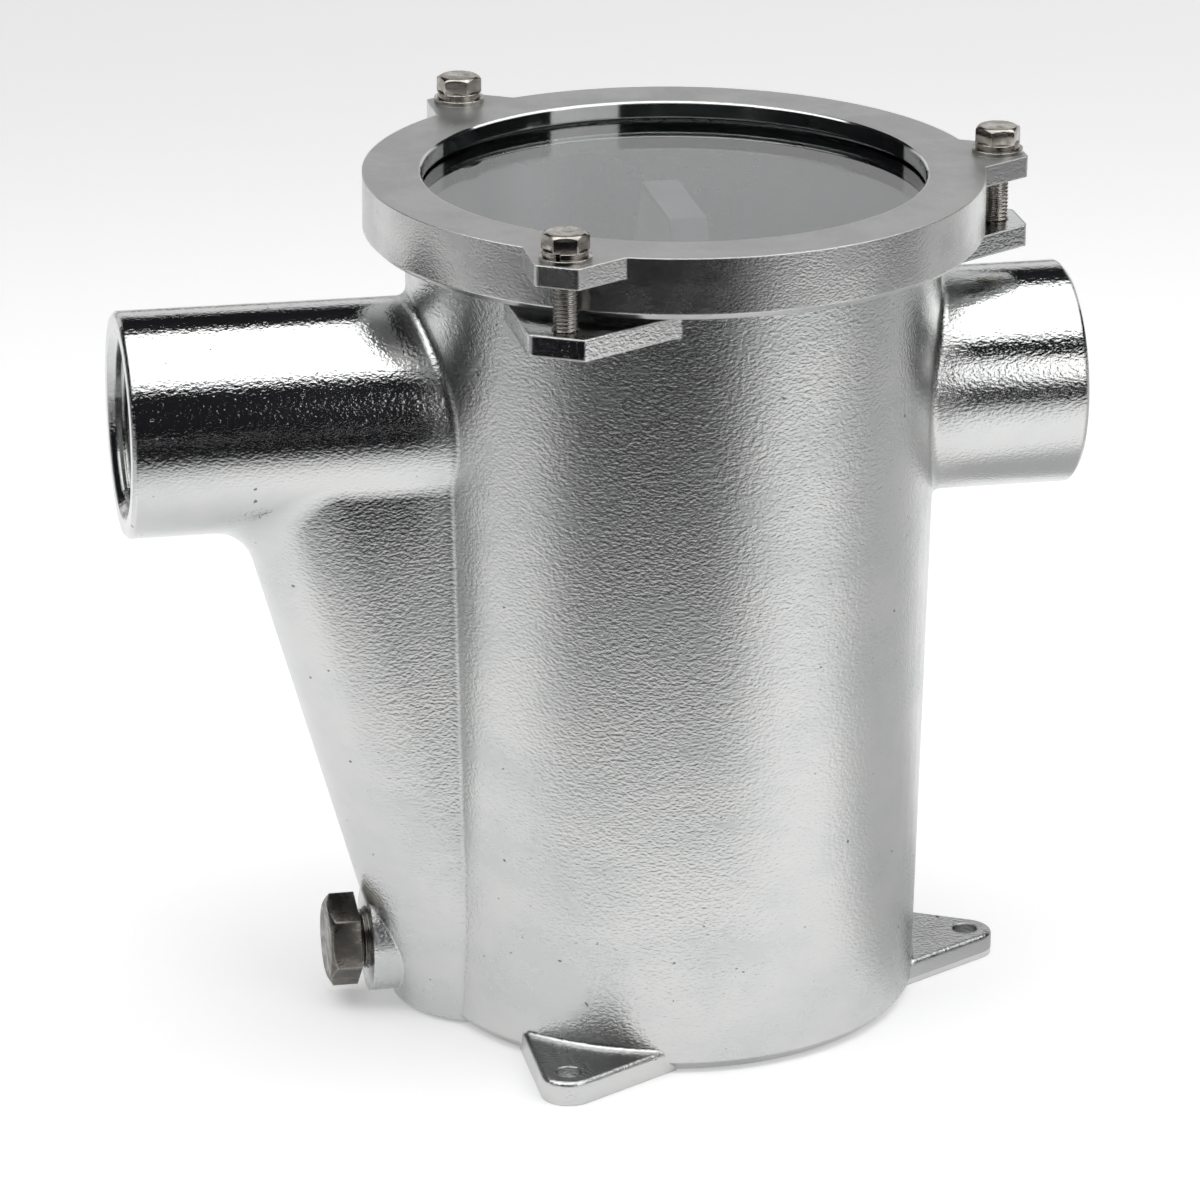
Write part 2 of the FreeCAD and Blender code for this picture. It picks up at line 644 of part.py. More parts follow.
def make_clamp_bolt(letter, angle):
    """Hexagon head screw in one lid lug, threaded into the bowl lug below."""
    body = new_body("clamp_bolt_" + letter)
    head_sketch = sketch_on(body, "head_outline_" + letter, "XY_Plane")
    hexagon(head_sketch, "bolt_corner", "bolt_corner_half", "bolt_flat")
    pad(body, head_sketch, "head_" + letter, "bolt_head")
    hex_bevel(body, "head_bevel_" + letter, "bolt_face_rad", "bolt_corner",
              "bolt_bevel_z", "bolt_head")
    shank_sketch = sketch_on(body, "shank_circle_" + letter, "XY_Plane")
    circle(shank_sketch, "0", "0", "bolt_rad")
    shank = pad(body, shank_sketch, "shank_" + letter, "bolt_length", True)
    rounded(body, shank, "shank_point_" + letter, "bolt_point",
            lambda p: near(p.z, -size("bolt_length")), "Chamfer")
    reach = size("bolt_pitch_rad")
    spot = FreeCAD.Vector(reach * math.cos(math.radians(angle)),
                          reach * math.sin(math.radians(angle)), size("bolt_seat_z"))
    turn = FreeCAD.Rotation(FreeCAD.Vector(0, 0, 1), size("bolt_%s_angle" % letter))
    body.Placement = FreeCAD.Placement(spot, turn)
    return body


def make_bolt_washer(label, outer, thick, level, angle, split):
    """Washer under one bolt head; the spring washer has a cut through one side."""
    body = new_body(label)
    sketch = sketch_on(body, label + "_outline", "XY_Plane")
    circle(sketch, "0", "0", outer)
    circle(sketch, "0", "0", "washer_hole_rad")
    pad(body, sketch, label + "_plate", thick)
    if split:
        gap = sketch_on(body, label + "_gap_outline", "XY_Plane", thick)
        outline(gap, [("0", "-spring_gap_half"), (outer, "-spring_gap_half"),
                      (outer, "spring_gap_half"), ("0", "spring_gap_half")])
        pocket(body, gap, label + "_gap", thick)
    reach = size("bolt_pitch_rad")
    spot = FreeCAD.Vector(reach * math.cos(math.radians(angle)),
                          reach * math.sin(math.radians(angle)), size(level))
    body.Placement = FreeCAD.Placement(spot, FreeCAD.Rotation(FreeCAD.Vector(0, 0, 1), angle))
    return body


def make_clamps():
    made = []
    for letter, angle in (("a", 240), ("b", 0), ("c", 120)):
        made.append(make_clamp_bolt(letter, angle))
        made.append(make_bolt_washer("flat_washer_" + letter, "flat_washer_rad", "flat_washer",
                                     "ring_top", angle, False))
        made.append(make_bolt_washer("spring_washer_" + letter, "spring_washer_rad",
                                     "spring_washer", "spring_z", angle, True))
    return made


# ---------------------------------------------------------------- drain_plug
# Turned from hexagon bar: head, undercut neck, parallel thread; it points into the duct.
def make_drain_plug():
    body = new_body("drain_plug")
    head_sketch = sketch_on(body, "plug_head_outline", "XY_Plane")
    hexagon(head_sketch, "plug_corner", "plug_corner_half", "plug_flat")
    pad(body, head_sketch, "plug_head_block", "plug_head")
    hex_bevel(body, "plug_head_bevel", "plug_face_rad", "plug_corner",
              "plug_bevel_z", "plug_head")
    neck_sketch = sketch_on(body, "plug_neck_circle", "XY_Plane")
    circle(neck_sketch, "0", "0", "plug_neck_rad")
    pad(body, neck_sketch, "plug_neck_bar", "plug_neck", True)
    thread_sketch = sketch_on(body, "plug_thread_circle", "XY_Plane", "-plug_neck")
    circle(thread_sketch, "0", "0", "plug_thread_rad")
    thread = pad(body, thread_sketch, "plug_thread_bar", "plug_thread_len", True)
    rounded(body, thread, "plug_lead_in", "plug_lead",
            lambda p: near(p.z, -size("plug_neck") - size("plug_thread_len")), "Chamfer")
    spot = FreeCAD.Vector(-size("boss_face") - size("plug_out"), 0, size("boss_z"))
    body.Placement = FreeCAD.Placement(spot, FreeCAD.Rotation(FreeCAD.Vector(0, 1, 0), -90))
    return body


# ---------------------------------------------------------------- basket
# Slotted sheet tube, slotted base plate, flange ring resting on the ledge, strap handle, rivets.
def make_basket():
    shell = new_body("basket_shell")
    tube = sketch_on(shell, "tube_circles", "XY_Plane", "basket_low")
    circle(tube, "0", "0", "basket_rad")
    circle(tube, "0", "0", "basket_in_rad")
    pad(shell, tube, "tube", "basket_tall")
    slots = sketch_on(shell, "slot_column", "XZ_Plane")
    for row in (1, 2, 3):
        low, top = "row_%d_low" % row, "row_%d_top" % row
        outline(slots, [("-slot_half", low), ("slot_half", low),
                        ("slot_half", top), ("-slot_half", top)])
    column = pocket(shell, slots, "slots", "bore_across")
    column.SideType = "Symmetric"
    ring = shell.newObject("PartDesign::PolarPattern", "slot_ring")
    ring.Originals = [column]
    ring.Axis = axis_of(shell, "Z_Axis")
    ring.setExpression("Angle", "180 deg - 180 deg / sizes.slot_pairs")
    ring.setExpression("Occurrences", link("slot_pairs"))
    shell.Tip = ring
    rivet_bore(shell, "shell_rivet_holes")

    base = new_body("basket_base")
    plate = sketch_on(base, "base_circle", "XY_Plane", "basket_low")
    circle(plate, "0", "0", "basket_in_rad")
    pad(base, plate, "base_plate", "sheet_thick")
    slit = sketch_on(base, "base_slot_outline", "XY_Plane", "base_top")
    outline(slit, [("base_slot_in", "-slot_half"), ("base_slot_out", "-slot_half"),
                   ("base_slot_out", "slot_half"), ("base_slot_in", "slot_half")])
    cut = pocket(base, slit, "base_slot", "sheet_thick")
    star = base.newObject("PartDesign::PolarPattern", "base_slots")
    star.Originals = [cut]
    star.Axis = axis_of(base, "Z_Axis")
    star.Angle = 360
    star.setExpression("Occurrences", link("base_slot_count"))
    base.Tip = star

    rim = make_washer("basket_rim", "basket_rad", "rim_flange_rad", "ledge_z", "rim_flange")

    handle = new_body("basket_handle")
    strap = sketch_on(handle, "strap_side", "YZ_Plane")
    outline(strap, [("tab_out", "tab_low"), ("tab_out", "tab_top"), ("grip_half", "grip_top"),
                    ("-grip_half", "grip_top"), ("-tab_out", "tab_top"), ("-tab_out", "tab_low"),
                    ("-tab_in", "tab_low"), ("-tab_in", "tab_in_top"),
                    ("-grip_in_half", "grip_low"), ("grip_in_half", "grip_low"),
                    ("tab_in", "tab_in_top"), ("tab_in", "tab_low")])
    band = pad(handle, strap, "strap", "strap_wide")
    band.SideType = "Symmetric"
    rivet_bore(handle, "handle_rivet_holes")

    rivets = [make_rivet("a", -90), make_rivet("b", 90)]
    return [shell, base, rim, handle] + rivets


def make_rivet(letter, tilt):
    """Rivet through one handle tab and the sheet, turned about its own axis."""
    body = new_body("handle_rivet_" + letter)
    profile = sketch_on(body, "rivet_section_" + letter, "XZ_Plane")
    outline(profile, [("0", "rivet_in"), ("rivet_head_top_rad", "rivet_in"),
                      ("rivet_head_rad", "tab_in"), ("rivet_rad", "tab_in"),
                      ("rivet_rad", "basket_rad"), ("rivet_head_rad", "basket_rad"),
                      ("rivet_head_top_rad", "rivet_out"), ("0", "rivet_out")])
    spun(body, profile, "rivet_" + letter)
    lie = FreeCAD.Rotation(FreeCAD.Vector(1, 0, 0), tilt)
    body.Placement = FreeCAD.Placement(FreeCAD.Vector(0, 0, size("rivet_z")), lie)
    return body


def rivet_bore(body, name):
    """Hole for the two handle rivets, right across the basket."""
    sketch = sketch_on(body, name + "_circle", "XZ_Plane")
    circle(sketch, "0", "rivet_z", "rivet_hole_rad")
    bore = pocket(body, sketch, name, "bore_across")
    bore.SideType = "Symmetric"
    return bore


parts = [make_strainer_body(), make_lid_ring()] + make_window() + make_clamps()
parts += [make_drain_plug()] + make_basket()
doc.recompute()

for item in doc.Objects:
    if "Invalid" in item.State or "Error" in item.State:
        raise RuntimeError("%s did not compute: %s" % (item.Label, item.State))
for part in parts:
    if part.Shape.isNull() or not part.Shape.isValid() or len(part.Shape.Solids) != 1:
        raise RuntimeError("%s has no sound solid" % part.Label)
    part.Shape.exportStep("parts/%s.step" % part.Label)
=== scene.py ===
import bpy
import json
import math
from mathutils import Matrix, Vector


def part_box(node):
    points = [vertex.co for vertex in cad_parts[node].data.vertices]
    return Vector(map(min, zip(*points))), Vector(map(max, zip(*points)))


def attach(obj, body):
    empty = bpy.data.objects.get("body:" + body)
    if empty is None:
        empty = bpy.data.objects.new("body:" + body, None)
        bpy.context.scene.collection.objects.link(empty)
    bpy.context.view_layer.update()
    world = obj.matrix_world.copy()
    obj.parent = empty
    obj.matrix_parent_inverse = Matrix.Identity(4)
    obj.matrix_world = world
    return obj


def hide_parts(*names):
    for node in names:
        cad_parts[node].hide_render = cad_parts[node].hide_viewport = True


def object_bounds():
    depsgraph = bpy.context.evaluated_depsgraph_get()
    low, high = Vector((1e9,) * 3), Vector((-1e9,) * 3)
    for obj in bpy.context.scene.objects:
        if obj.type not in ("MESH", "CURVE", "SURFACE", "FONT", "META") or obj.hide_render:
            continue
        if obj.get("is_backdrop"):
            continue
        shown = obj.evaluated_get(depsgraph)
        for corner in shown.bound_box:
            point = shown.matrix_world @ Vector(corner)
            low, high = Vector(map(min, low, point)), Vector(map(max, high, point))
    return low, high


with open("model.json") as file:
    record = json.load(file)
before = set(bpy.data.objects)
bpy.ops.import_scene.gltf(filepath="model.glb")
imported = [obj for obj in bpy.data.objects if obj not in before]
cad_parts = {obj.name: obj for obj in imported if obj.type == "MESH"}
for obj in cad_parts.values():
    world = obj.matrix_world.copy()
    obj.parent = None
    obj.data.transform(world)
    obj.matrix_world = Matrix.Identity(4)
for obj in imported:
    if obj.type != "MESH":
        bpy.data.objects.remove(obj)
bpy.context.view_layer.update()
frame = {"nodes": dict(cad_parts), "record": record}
nodes = frame["nodes"]

# ------------------------------------------------------------------ cast body
# Bowl, pipes, leaning duct, drain boss, lugs and feet are one stainless investment casting.
# It is pickled and electropolished: bright, with the fine orange-peel skin of the mould.
CAST_GRAIN = 720.0
CAST_PATCH = 24.0
CAST_RELIEF = 0.00019
CAST_EDGE = 0.0012
CAST_EDGE_GAIN = 5.0
PIT_DEPTH = 1.5
PIPE_CALM = 0.35
CAST_BRIGHT = (0.62, 0.625, 0.615)
CAST_DULL = (0.575, 0.585, 0.585)
PIT_GREY = (0.2, 0.2, 0.2)
CAST_RUBBED = (0.78, 0.78, 0.76)
WALL_ROUGH = (0.24, 0.28)
PIPE_ROUGH = (0.09, 0.12)
CLEAR_OF_WALL = (0.088, 0.100)
NEAR_TOP = (0.155, 0.185)


def new_group(name, inputs, outputs):
    """Empty node group with its named inputs and outputs, and its first and last node."""
    group = bpy.data.node_groups.new(name, "ShaderNodeTree")
    for label, value in inputs:
        socket = group.interface.new_socket(label, in_out="INPUT", socket_type="NodeSocketFloat")
        socket.default_value = value
    for label, kind in outputs:
        group.interface.new_socket(label, in_out="OUTPUT", socket_type=kind)
    start = group.nodes.new("NodeGroupInput")
    end = group.nodes.new("NodeGroupOutput")
    return group, start, end


def put(tree, kind, **values):
    """New node in a material or group, with its settings."""
    node = tree.nodes.new("ShaderNode" + kind)
    for name, value in values.items():
        setattr(node, name, value)
    return node


def wire(tree, source, target):
    """Link one socket to another."""
    tree.links.new(source, target)


def mix_values(tree, factor, low, high):
    """Value that runs from low to high as a mask runs from 0 to 1."""
    spread = put(tree, "MapRange")
    wire(tree, factor, spread.inputs["Value"])
    spread.inputs["To Min"].default_value = low
    spread.inputs["To Max"].default_value = high
    return spread.outputs["Result"]


def ramp_mask(tree, value, start, stop):
    """Mask that rises from 0 at start to 1 at stop."""
    spread = put(tree, "MapRange", interpolation_type="SMOOTHSTEP")
    wire(tree, value, spread.inputs["Value"])
    spread.inputs["From Min"].default_value = start
    spread.inputs["From Max"].default_value = stop
    return spread.outputs["Result"]


def combine(tree, operation, first, second):
    """Sum, product or the like of two sockets or numbers."""
    node = put(tree, "Math", operation=operation)
    for socket, value in zip(node.inputs, (first, second)):
        if isinstance(value, (int, float)):
            socket.default_value = value
        else:
            wire(tree, value, socket)
    return node.outputs["Value"]


def mix_colours(tree, factor, low, high):
    """Colour that runs from low to high as a mask runs from 0 to 1; low may be a socket."""
    node = put(tree, "Mix", data_type="RGBA")
    wire(tree, factor, node.inputs["Factor"])
    colours = [socket for socket in node.inputs if socket.type == "RGBA"]
    if isinstance(low, tuple):
        colours[0].default_value = (*low, 1.0)
    else:
        wire(tree, low, colours[0])
    colours[1].default_value = (*high, 1.0)
    return [socket for socket in node.outputs if socket.type == "RGBA"][0]


def skin_group():
    """Skin of a casting: coarse and fine bumps together, slow cloudy patches, a few pits."""
    flattened = (1.0, 1.0, 1.6)
    fine_ratio = 2.9
    fine_share = 0.12
    pit_scale = 420.0
    group, start, end = new_group("casting_skin", [("Size", 700.0), ("Patch", 22.0)],
                                  [("Height", "NodeSocketFloat"), ("Cloud", "NodeSocketFloat"),
                                   ("Pits", "NodeSocketFloat")])
    place = put(group, "TexCoord")
    flat = put(group, "Mapping")
    flat.inputs["Scale"].default_value = flattened
    wire(group, place.outputs["Object"], flat.inputs["Vector"])
    coarse = put(group, "TexNoise")
    fine = put(group, "TexNoise")
    cloud = put(group, "TexNoise")
    spots = put(group, "TexNoise")
    for noise in (coarse, fine, cloud, spots):
        wire(group, flat.outputs["Vector"], noise.inputs["Vector"])
    wire(group, start.outputs["Size"], coarse.inputs["Scale"])
    wire(group, combine(group, "MULTIPLY", start.outputs["Size"], fine_ratio),
         fine.inputs["Scale"])
    wire(group, start.outputs["Patch"], cloud.inputs["Scale"])
    coarse.inputs["Detail"].default_value = 2.0
    fine.inputs["Detail"].default_value = 2.0
    cloud.inputs["Detail"].default_value = 5.0
    cloud.inputs["Roughness"].default_value = 0.62
    spots.inputs["Scale"].default_value = pit_scale
    spots.inputs["Detail"].default_value = 0.0
    rough = combine(group, "MULTIPLY", fine.outputs["Fac"], fine_share)
    wire(group, combine(group, "ADD", coarse.outputs["Fac"], rough), end.inputs["Height"])
    wire(group, ramp_mask(group, cloud.outputs["Fac"], 0.36, 0.66), end.inputs["Cloud"])
    wire(group, ramp_mask(group, spots.outputs["Fac"], 0.865, 0.89), end.inputs["Pits"])
    return group


def edge_group():
    """Edges rubbed round and bright by tumbling and handling."""
    group, start, end = new_group("rubbed_edge", [("Gain", 6.0), ("Radius", 0.001)],
                                  [("Edge", "NodeSocketFloat"), ("Normal", "NodeSocketVector")])
    soft = put(group, "Bevel", samples=4)
    wire(group, start.outputs["Radius"], soft.inputs["Radius"])
    wire(group, soft.outputs["Normal"], end.inputs["Normal"])
    plain = put(group, "NewGeometry")
    turn = put(group, "VectorMath", operation="DOT_PRODUCT")
    wire(group, soft.outputs["Normal"], turn.inputs[0])
    wire(group, plain.outputs["Normal"], turn.inputs[1])
    lost = combine(group, "SUBTRACT", 1.0, turn.outputs["Value"])
    gained = combine(group, "MULTIPLY", lost, start.outputs["Gain"])
    wire(group, ramp_mask(group, gained, 0.02, 1.0), end.inputs["Edge"])
    return group


def axis_group():
    """How far a point lies from the bowl's axis, and how high it stands."""
    group, _, end = new_group("from_axis", [], [("Reach", "NodeSocketFloat"),
                                                ("Level", "NodeSocketFloat")])
    place = put(group, "TexCoord")
    axes = put(group, "SeparateXYZ")
    flat = put(group, "CombineXYZ")
    reach = put(group, "VectorMath", operation="LENGTH")
    wire(group, place.outputs["Object"], axes.inputs["Vector"])
    wire(group, axes.outputs["X"], flat.inputs["X"])
    wire(group, axes.outputs["Y"], flat.inputs["Y"])
    wire(group, flat.outputs["Vector"], reach.inputs[0])
    wire(group, reach.outputs["Value"], end.inputs["Reach"])
    wire(group, axes.outputs["Z"], end.inputs["Level"])
    return group


casting_skin = skin_group()
rubbed_edge = edge_group()
from_axis = axis_group()


def new_material(name, metal, rough):
    """Material with its node tree and its Principled shader."""
    material = bpy.data.materials.new(name)
    material.use_nodes = True
    tree = material.node_tree
    shader = tree.nodes["Principled BSDF"]
    shader.inputs["Metallic"].default_value = metal
    shader.inputs["Roughness"].default_value = rough
    return material, tree, shader


def use_group(tree, group, **values):
    """One of the groups in a material, with this material's own values."""
    node = put(tree, "Group", node_tree=group)
    for name, value in values.items():
        node.inputs[name].default_value = value
    return node


def bump(tree, height, distance, strength, normal=None):
    """Normal of a surface that stands up by a height, over another normal where one is given."""
    node = put(tree, "Bump")
    node.inputs["Distance"].default_value = distance
    node.inputs["Strength"].default_value = strength
    wire(tree, height, node.inputs["Height"])
    if normal:
        wire(tree, normal, node.inputs["Normal"])
    return node.outputs["Normal"]


def give(node, material):
    """Give a piece one material all over."""
    node.data.materials.clear()
    node.data.materials.append(material)


cast, tree, shader = new_material("cast_steel", 1.0, 0.3)
skin = use_group(tree, casting_skin, Size=CAST_GRAIN, Patch=CAST_PATCH)
edge = use_group(tree, rubbed_edge, Gain=CAST_EDGE_GAIN, Radius=CAST_EDGE)
where = use_group(tree, from_axis)
# the pipes and lugs stand clear of the bowl and take a brighter polish than its wall
clear_of_wall = ramp_mask(tree, where.outputs["Reach"], *CLEAR_OF_WALL)
near_top = ramp_mask(tree, where.outputs["Level"], *NEAR_TOP)
polished = combine(tree, "MULTIPLY", clear_of_wall, near_top)
satin = mix_values(tree, skin.outputs["Cloud"], *WALL_ROUGH)
bright = mix_values(tree, skin.outputs["Cloud"], *PIPE_ROUGH)
gain = combine(tree, "MULTIPLY", combine(tree, "SUBTRACT", bright, satin), polished)
wire(tree, combine(tree, "ADD", satin, gain), shader.inputs["Roughness"])
tone = mix_colours(tree, skin.outputs["Cloud"], CAST_BRIGHT, CAST_DULL)
pitted = mix_colours(tree, skin.outputs["Pits"], tone, PIT_GREY)
rubbed = mix_colours(tree, edge.outputs["Edge"], pitted, CAST_RUBBED)
wire(tree, rubbed, shader.inputs["Base Color"])
dents = combine(tree, "MULTIPLY", skin.outputs["Pits"], PIT_DEPTH)
dented = combine(tree, "SUBTRACT", skin.outputs["Height"], dents)
calmer = combine(tree, "SUBTRACT", 1.0, combine(tree, "MULTIPLY", polished, PIPE_CALM))
relief = bump(tree, combine(tree, "MULTIPLY", dented, calmer), CAST_RELIEF, 1.0,
              edge.outputs["Normal"])
wire(tree, relief, shader.inputs["Normal"])
give(nodes["strainer_body"], cast)

# ------------------------------------------------------------------ pipe threads
# Parallel 2 inch pipe thread cut in both mouths, eleven turns to the inch.
# The ridges stand in the bored mouths of the casting and ride with it.
THREAD_PITCH = 0.00231
THREAD_BORE = 0.0283
THREAD_DEEP = 0.0011
THREAD_LAP = 0.00005
THREAD_TURNS = 9
MOUTH_BEVEL = 0.0022


def thread_ridge(name, root, deep, pitch, turns, steps, inward=False):
    """Helical ridge about the Z axis: a three-sided section swept along its screw line."""
    ridge_share = 0.86
    circle = deep / 1.5
    side = -1 if inward else 1
    bpy.ops.object.select_all(action="DESELECT")
    bpy.ops.mesh.primitive_circle_add(vertices=3, radius=circle,
                                      location=(root + side * circle / 2, 0, 0),
                                      rotation=(math.pi / 2, side * math.pi / 2, 0))
    ridge = bpy.context.object
    ridge.name = name
    ridge.scale.x = ridge_share * pitch / (circle * math.sqrt(3))
    bpy.ops.object.transform_apply(location=True, rotation=True, scale=True)
    sweep = ridge.modifiers.new("sweep", "SCREW")
    sweep.axis = "Z"
    sweep.screw_offset = pitch
    sweep.iterations = turns
    sweep.steps = steps
    sweep.render_steps = steps
    bpy.ops.object.modifier_apply(modifier="sweep")
    bpy.ops.object.mode_set(mode="EDIT")
    bpy.ops.mesh.select_all(action="SELECT")
    bpy.ops.mesh.fill_holes(sides=3)
    bpy.ops.mesh.normals_make_consistent(inside=False)
    bpy.ops.object.mode_set(mode="OBJECT")
    bpy.ops.object.shade_smooth_by_angle(angle=math.radians(35))
    return ridge


def settle(piece, place):
    """Put a piece where it belongs and write the place into its mesh."""
    piece.data.transform(place)
    piece.data.update()


body_low, body_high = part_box("strainer_body")
pipe_height = frame["record"]["mounts"][0]["pos_m"][2]
for side, end_x in (("inlet", body_low.x), ("outlet", body_high.x)):
    inward = 1 if side == "inlet" else -1
    ridge = thread_ridge(side + "_thread", THREAD_BORE + THREAD_LAP, THREAD_DEEP, THREAD_PITCH,
                         THREAD_TURNS, 72, inward=True)
    start = end_x + inward * (MOUTH_BEVEL + THREAD_PITCH)
    settle(ridge, Matrix.Translation((start, 0, pipe_height))
           @ Matrix.Rotation(inward * math.pi / 2, 4, "Y"))
    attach(ridge, "strainer")
    give(ridge, cast)

# ------------------------------------------------------------------ drain plug
# Hexagon plug turned from bar, 27 mm across flats, with an undercut neck and a fine thread.
# It screws into the boss at the foot of the duct; the metal has dulled to a brown grey.
PLUG_FLAT = 0.0135
PLUG_HEAD = 0.010
PLUG_FACE_IN = 0.0009
PLUG_EDGE = 0.0005
PLUG_THREAD = 0.0104
PLUG_DEEP = 0.0009
PLUG_NECK = 0.0018
PLUG_UNDERCUT = 0.0018
PLUG_NECK_LAP = 0.0005
HEAD_LAP = 0.0002
PLUG_LENGTH = 0.0138
PLUG_POINT = 0.0008
PLUG_PITCH = 0.0015
PLUG_TURN = math.radians(16.6)
PLUG_BROWN = (0.2, 0.185, 0.165)
PLUG_DARK = (0.115, 0.11, 0.1)
PLUG_RUBBED = (0.5, 0.49, 0.46)
PLUG_ROUGH = (0.24, 0.42)
PLUG_RELIEF = 0.00006

plug_metal, tree, shader = new_material("plug_metal", 1.0, 0.3)
skin = use_group(tree, casting_skin, Size=900.0, Patch=130.0)
edge = use_group(tree, rubbed_edge, Gain=9.0, Radius=0.0009)
stained = mix_colours(tree, skin.outputs["Cloud"], PLUG_BROWN, PLUG_DARK)
worn = mix_colours(tree, edge.outputs["Edge"], stained, PLUG_RUBBED)
wire(tree, worn, shader.inputs["Base Color"])
wire(tree, mix_values(tree, skin.outputs["Cloud"], *PLUG_ROUGH), shader.inputs["Roughness"])
relief = bump(tree, skin.outputs["Height"], PLUG_RELIEF, 1.0, edge.outputs["Normal"])
wire(tree, relief, shader.inputs["Normal"])


def hexagon_head(name, flat, tall, face, round_edge):
    """Hexagon block with its end corners turned off to a cone, standing on the XY plane."""
    foot = face + tall / math.tan(math.radians(30))
    bpy.ops.object.select_all(action="DESELECT")
    bpy.ops.mesh.primitive_cone_add(vertices=64, radius1=foot, radius2=face, depth=tall,
                                    location=(0, 0, tall / 2))
    turned = bpy.context.object
    bpy.ops.object.select_all(action="DESELECT")
    bpy.ops.mesh.primitive_cylinder_add(vertices=6, radius=flat / math.cos(math.radians(30)),
                                        depth=tall, location=(0, 0, tall / 2))
    head = bpy.context.object
    head.name = name
    bpy.ops.object.transform_apply(location=True, rotation=True, scale=True)
    cut = head.modifiers.new("turned_off", "BOOLEAN")
    cut.operation = "INTERSECT"
    cut.object = turned
    bpy.ops.object.modifier_apply(modifier="turned_off")
    bpy.data.objects.remove(turned)
    soft = head.modifiers.new("soft_edges", "BEVEL")
    soft.width = round_edge
    soft.segments = 2
    soft.limit_method = "ANGLE"
    soft.angle_limit = math.radians(25)
    bpy.ops.object.modifier_apply(modifier="soft_edges")
    bpy.ops.object.shade_smooth_by_angle(angle=math.radians(30))
    return head


def turned_bar(name, radius, low, high, point, sides=48):
    """Round bar about the Z axis with its lower end bevelled."""
    bpy.ops.object.select_all(action="DESELECT")
    bpy.ops.mesh.primitive_cylinder_add(vertices=sides, radius=radius, depth=high - low,
                                        location=(0, 0, (high + low) / 2))
    bar = bpy.context.object
    bar.name = name
    bpy.ops.object.transform_apply(location=True, rotation=True, scale=True)
    bpy.ops.object.mode_set(mode="EDIT")
    bpy.ops.mesh.select_mode(type="FACE")
    bpy.ops.mesh.select_all(action="DESELECT")
    bpy.ops.object.mode_set(mode="OBJECT")
    for face in bar.data.polygons:
        face.select = face.normal.z < -0.9
    bpy.ops.object.mode_set(mode="EDIT")
    bpy.ops.mesh.bevel(offset=point, segments=2)
    bpy.ops.object.mode_set(mode="OBJECT")
    bpy.ops.object.shade_smooth_by_angle(angle=math.radians(30))
    return bar


def joined(name, pieces):
    """The pieces as one object that keeps the first one's place."""
    bpy.ops.object.select_all(action="DESELECT")
    for piece in pieces:
        piece.select_set(True)
    bpy.context.view_layer.objects.active = pieces[0]
    bpy.ops.object.join()
    pieces[0].name = name
    return pieces[0]


head = hexagon_head("plug_head", PLUG_FLAT, PLUG_HEAD, PLUG_FLAT - PLUG_FACE_IN, PLUG_EDGE)
neck = turned_bar("plug_neck", PLUG_THREAD - PLUG_UNDERCUT, -PLUG_NECK - PLUG_NECK_LAP,
                  HEAD_LAP, HEAD_LAP)
core = turned_bar("plug_core", PLUG_THREAD - PLUG_DEEP, -PLUG_LENGTH, -PLUG_NECK, PLUG_POINT)
turns = int((PLUG_LENGTH - PLUG_NECK) / PLUG_PITCH) - 1
ridge = thread_ridge("plug_ridge", PLUG_THREAD - PLUG_DEEP - THREAD_LAP, PLUG_DEEP, PLUG_PITCH,
                     turns, 40)
settle(ridge, Matrix.Translation((0, 0, -PLUG_LENGTH + PLUG_PITCH)))
plug = joined("drain_plug_dressed", [head, neck, core, ridge])
plug_low, plug_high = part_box("drain_plug")
settle(plug, Matrix.Translation((plug_low.x + PLUG_HEAD, 0, (plug_low.z + plug_high.z) / 2))
       @ Matrix.Rotation(PLUG_TURN, 4, "X") @ Matrix.Rotation(-math.pi / 2, 4, "Y"))
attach(plug, "drain")
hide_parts("drain_plug")
give(plug, plug_metal)

# ------------------------------------------------------------------ basket
# Rolled tube and base of slotted stainless sheet with a flange ring, a strap handle and rivets.
# It hangs on a ledge inside the bowl and is lifted out by the strap.
SHEET_BRIGHT = (0.62, 0.62, 0.61)
SHEET_DULL = (0.56, 0.56, 0.55)
BRUSH_SCALE = 2600.0
BRUSH_STRETCH = (1.0, 1.0, 0.04)
BRUSH_RELIEF = 0.00003
SHEET_ROUGH = (0.28, 0.34)

sheet_metal, tree, shader = new_material("sheet_steel", 1.0, 0.3)
skin = use_group(tree, casting_skin, Size=1500.0, Patch=60.0)
place = put(tree, "TexCoord")
along = put(tree, "Mapping")
along.inputs["Scale"].default_value = BRUSH_STRETCH
wire(tree, place.outputs["Object"], along.inputs["Vector"])
brushed = put(tree, "TexNoise")
brushed.inputs["Scale"].default_value = BRUSH_SCALE
brushed.inputs["Detail"].default_value = 3.0
wire(tree, along.outputs["Vector"], brushed.inputs["Vector"])
tone = mix_colours(tree, skin.outputs["Cloud"], SHEET_BRIGHT, SHEET_DULL)
wire(tree, tone, shader.inputs["Base Color"])
wire(tree, mix_values(tree, skin.outputs["Cloud"], *SHEET_ROUGH), shader.inputs["Roughness"])
relief = bump(tree, brushed.outputs["Fac"], BRUSH_RELIEF, 0.8)
wire(tree, relief, shader.inputs["Normal"])
for name in ("basket_shell", "basket_base", "basket_rim", "basket_handle",
             "handle_rivet_a", "handle_rivet_b"):
    give(nodes[name], sheet_metal)

# ------------------------------------------------------------------ seals
# Two flat rings of black nitrile rubber, one under and one over the window disc.
# They are moulded, and only pressed between the metal and the disc.
RUBBER_BLACK = (0.018, 0.018, 0.019)
RUBBER_GREY = (0.035, 0.034, 0.033)
RUBBER_ROUGH = (0.5, 0.68)
RUBBER_RELIEF = 0.00005

